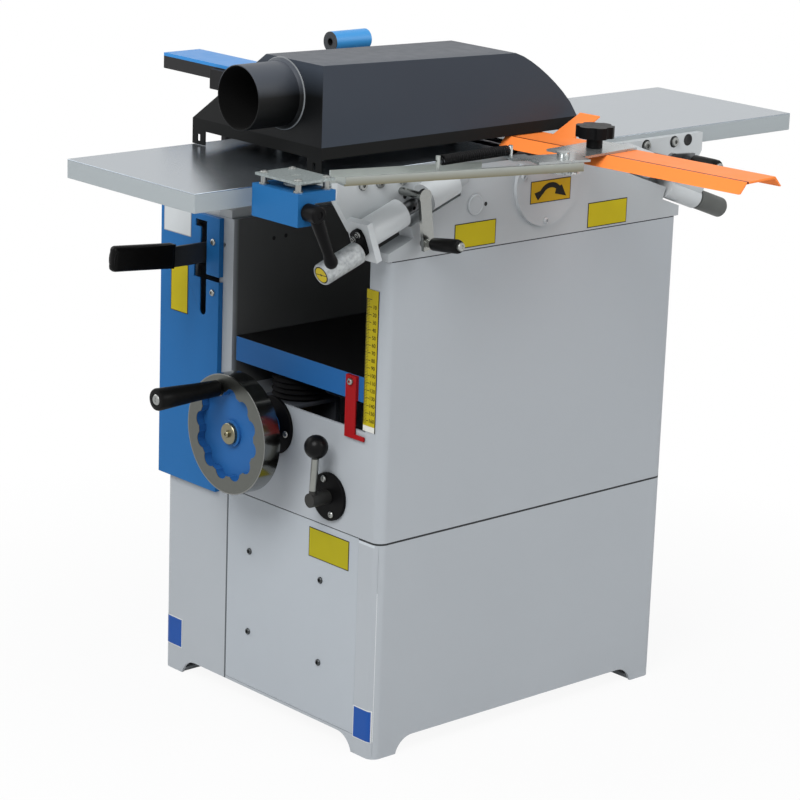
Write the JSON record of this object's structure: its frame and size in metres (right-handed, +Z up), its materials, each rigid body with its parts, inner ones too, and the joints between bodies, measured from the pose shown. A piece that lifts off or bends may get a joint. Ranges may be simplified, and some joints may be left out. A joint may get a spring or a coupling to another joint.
{
  "type": "combination planer thicknesser",
  "caption": "Combination planer thicknesser: sheet cabinet, surfacing tables on inclined slides, rising thicknesser table with handwheel, bridge guard, fence and dust hood",
  "frame": {"origin": "on the floor, in the middle of the rectangle of the four anchor holes", "axes": "+X along the tables to the outfeed end, +Y away from the operator, +Z up"},
  "size_m": [1.084, 0.9413, 0.923],
  "materials": {
    "grey_paint": "light grey powder coat",
    "blue_paint": "blue enamel",
    "hood_paint": "dark grey satin powder coat",
    "orange_paint": "orange enamel",
    "table_alloy": "fine ground light alloy",
    "grey_cast": "painted casting",
    "steel": "turned steel",
    "zinc": "zinc plated",
    "dark_steel": "dark oiled steel",
    "rim_chrome": "polished rim",
    "knurled": "knurled light alloy",
    "black_plastic": "black moulded",
    "dark_plastic": "dark grey moulded",
    "black_rubber": "black",
    "yellow_print": "yellow scale plate",
    "red_paint": "red enamel",
    "button_green": "green",
    "button_red": "red"
  },
  "bodies": {
    "stand": {"lower_cabinet": "grey_paint", "front_cover": "grey_paint", "frame_screws": "steel", "upper_cabinet": "grey_paint", "gate_panel": "blue_paint", "near_casting": "grey_cast", "far_casting": "grey_cast", "bearing_cover": "grey_paint", "slide_shafts": "dark_steel", "scale_plate": "yellow_print", "front_flanges": "black_plastic", "nut_bracket": "dark_steel", "column_sleeve": "dark_steel", "motor": "dark_steel", "drive_belt": "black_rubber", "cutter_bearings": "steel", "fixed_pins": "steel", "belt_cover": "grey_paint", "switch_box": "black_plastic", "fence_bracket": "blue_paint", "boot": "black_rubber"},
    "infeed": {"infeed_table": "table_alloy", "infeed_saddle": "grey_cast", "infeed_bolts": "steel", "adjuster_plate": "black_plastic", "guard_block": "blue_paint", "guard_plate": "zinc"},
    "infeed_adjuster": {"infeed_knob": "knurled"},
    "infeed_lock": {"infeed_clamp": "zinc"},
    "outfeed": {"outfeed_table": "table_alloy", "outfeed_saddle": "grey_cast", "outfeed_bolts": "steel"},
    "outfeed_adjuster": {"outfeed_knob": "dark_plastic"},
    "outfeed_lock": {"outfeed_clamp": "black_plastic"},
    "dust_hood": {"hood": "hood_paint"},
    "guard_lock": {"guard_clamp": "black_plastic"},
    "guard_swinger": {"guard_arm": "zinc", "guard_spring": "dark_steel"},
    "guard_carrier": {"guard_saddle": "zinc"},
    "guard_bridge": {"guard_beam": "orange_paint"},
    "guard_star": {"guard_knob": "black_plastic"},
    "lift": {"lift_table": "blue_paint", "lift_column": "steel", "pointer": "red_paint"},
    "lift_nut": {"bevel_nut": "steel"},
    "handwheel": {"handwheel_rim": "rim_chrome", "handwheel_web": "blue_paint"},
    "handwheel_grip": {"wheel_grip": "black_plastic"},
    "column_lock": {"lock_lever": "steel"},
    "feed_switch": {"feed_lever": "steel"},
    "cutter": {"cutter_block": "steel", "cutter_knives": "steel"},
    "motor_drive": {"motor_pulley": "steel"},
    "entry_feed": {"entry_roller": "steel"},
    "exit_feed": {"exit_roller": "steel"},
    "kickback_fingers": {"fingers": "steel"},
    "fence_slide": {"fence_arm": "blue_paint"},
    "fence": {"fence_plate": "table_alloy"},
    "start": {"start_button": "button_green"},
    "stop": {"stop_button": "button_red"}
  },
  "joints": [
    {"name": "infeed_height", "type": "slide", "parent": "stand", "child": "infeed", "axis": [0.9397, 0, 0.342], "range_m": [-0.008, 0]},
    {"name": "infeed_adjust", "type": "hinge", "parent": "infeed", "child": "infeed_adjuster", "pos_m": [-0.31784, -0.218, 0.6902], "axis": [0.9397, 0, 0.342], "continuous": true},
    {"name": "infeed_clamp_turn", "type": "hinge", "parent": "infeed", "child": "infeed_lock", "pos_m": [-0.224, -0.22, 0.757], "axis": [0, 1, 0], "range_deg": [-50, 32]},
    {"name": "outfeed_height", "type": "slide", "parent": "stand", "child": "outfeed", "axis": [-0.9397, 0, 0.342], "range_m": [-0.001, 0.001]},
    {"name": "outfeed_adjust", "type": "hinge", "parent": "outfeed", "child": "outfeed_adjuster", "pos_m": [0.32447, -0.218, 0.68644], "axis": [-0.9397, 0, 0.342], "continuous": true},
    {"name": "outfeed_clamp_turn", "type": "hinge", "parent": "outfeed", "child": "outfeed_lock", "pos_m": [0.232, -0.22, 0.757], "axis": [0, 1, 0], "range_deg": [-40, 5]},
    {"name": "hood_lift_off", "type": "slide", "parent": "outfeed", "child": "dust_hood", "axis": [0, 0, 1], "range_m": [0, 0.08]},
    {"name": "guard_clamp_turn", "type": "hinge", "parent": "infeed", "child": "guard_lock", "pos_m": [-0.444, -0.25, 0.768], "axis": [0, 1, 0], "range_deg": [-40, 40]},
    {"name": "guard_swing", "type": "hinge", "parent": "infeed", "child": "guard_swinger", "pos_m": [-0.428, -0.2303, 0.795], "axis": [0, 0, 1], "range_deg": [-18, 0]},
    {"name": "guard_pivot", "type": "hinge", "parent": "guard_swinger", "child": "guard_carrier", "pos_m": [-0.07049, -0.32944, 0.8], "axis": [0, 0, 1], "range_deg": [-10, 0], "stiffness_Nm_per_rad": 4, "deforming": ["guard_spring"]},
    {"name": "guard_reach", "type": "slide", "parent": "guard_carrier", "child": "guard_bridge", "axis": [0.0872, -0.9962, 0], "range_m": [0, 0.03]},
    {"name": "guard_knob_turn", "type": "hinge", "parent": "guard_carrier", "child": "guard_star", "pos_m": [0.0076, -0.30791, 0.82], "axis": [0, 0, 1], "continuous": true},
    {"name": "table_lift", "type": "slide", "parent": "stand", "child": "lift", "axis": [0, 0, 1], "range_m": [0, 0.186], "deforming": ["boot"]},
    {"name": "nut_turn", "type": "hinge", "parent": "stand", "child": "lift_nut", "pos_m": [-0.225, -0.009, 0.4], "axis": [0, 0, 1], "continuous": true},
    {"name": "handwheel_turn", "type": "hinge", "parent": "stand", "child": "handwheel", "pos_m": [-0.3, -0.009, 0.412], "axis": [1, 0, 0], "continuous": true},
    {"name": "grip_turn", "type": "hinge", "parent": "handwheel", "child": "handwheel_grip", "pos_m": [-0.4, 0.00705, 0.47189], "axis": [1, 0, 0], "continuous": true},
    {"name": "column_lock_turn", "type": "hinge", "parent": "stand", "child": "column_lock", "pos_m": [-0.29, -0.127, 0.342], "axis": [1, 0, 0], "range_deg": [-40, 40]},
    {"name": "feed_lever_turn", "type": "hinge", "parent": "stand", "child": "feed_switch", "pos_m": [-0.1495, 0.139, 0.62], "axis": [0, 1, 0], "range_deg": [-26, 11]},
    {"name": "cutter_spin", "type": "hinge", "parent": "stand", "child": "cutter", "pos_m": [0.004, -0.055, 0.7492], "axis": [0, 1, 0], "continuous": true},
    {"name": "motor_spin", "type": "hinge", "parent": "stand", "child": "motor_drive", "pos_m": [0.15, 0.1, 0.13], "axis": [0, 1, 0], "continuous": true},
    {"name": "entry_spin", "type": "hinge", "parent": "stand", "child": "entry_feed", "pos_m": [0.064, -0.055, 0.7332], "axis": [0, 1, 0], "continuous": true},
    {"name": "exit_spin", "type": "hinge", "parent": "stand", "child": "exit_feed", "pos_m": [-0.056, -0.055, 0.7332], "axis": [0, 1, 0], "continuous": true},
    {"name": "finger_swing", "type": "hinge", "parent": "stand", "child": "kickback_fingers", "pos_m": [0.109, -0.055, 0.7382], "axis": [0, 1, 0], "range_deg": [0, 25]},
    {"name": "fence_cross", "type": "slide", "parent": "stand", "child": "fence_slide", "axis": [0, 1, 0], "range_m": [0, 0.05]},
    {"name": "fence_tilt", "type": "hinge", "parent": "fence_slide", "child": "fence", "pos_m": [-0.124, 0.092, 0.797], "axis": [-1, 0, 0], "range_deg": [0, 45]},
    {"name": "start_press", "type": "slide", "parent": "stand", "child": "start", "axis": [0, -1, 0], "range_m": [0, 0.004], "stiffness_N_per_m": 600},
    {"name": "stop_press", "type": "slide", "parent": "stand", "child": "stop", "axis": [0, -1, 0], "range_m": [0, 0.004], "stiffness_N_per_m": 600}
  ],
  "couplings": [
    {"joint": "infeed_adjust", "follows": "infeed_height", "rad_per_m": 1570.8},
    {"joint": "outfeed_adjust", "follows": "outfeed_height", "rad_per_m": 3141.6},
    {"joint": "nut_turn", "follows": "table_lift", "rad_per_m": 628.32},
    {"joint": "handwheel_turn", "follows": "table_lift", "rad_per_m": 628.32},
    {"joint": "motor_spin", "follows": "cutter_spin", "ratio": 0.57778},
    {"joint": "exit_spin", "follows": "entry_spin", "ratio": 1}
  ]
}
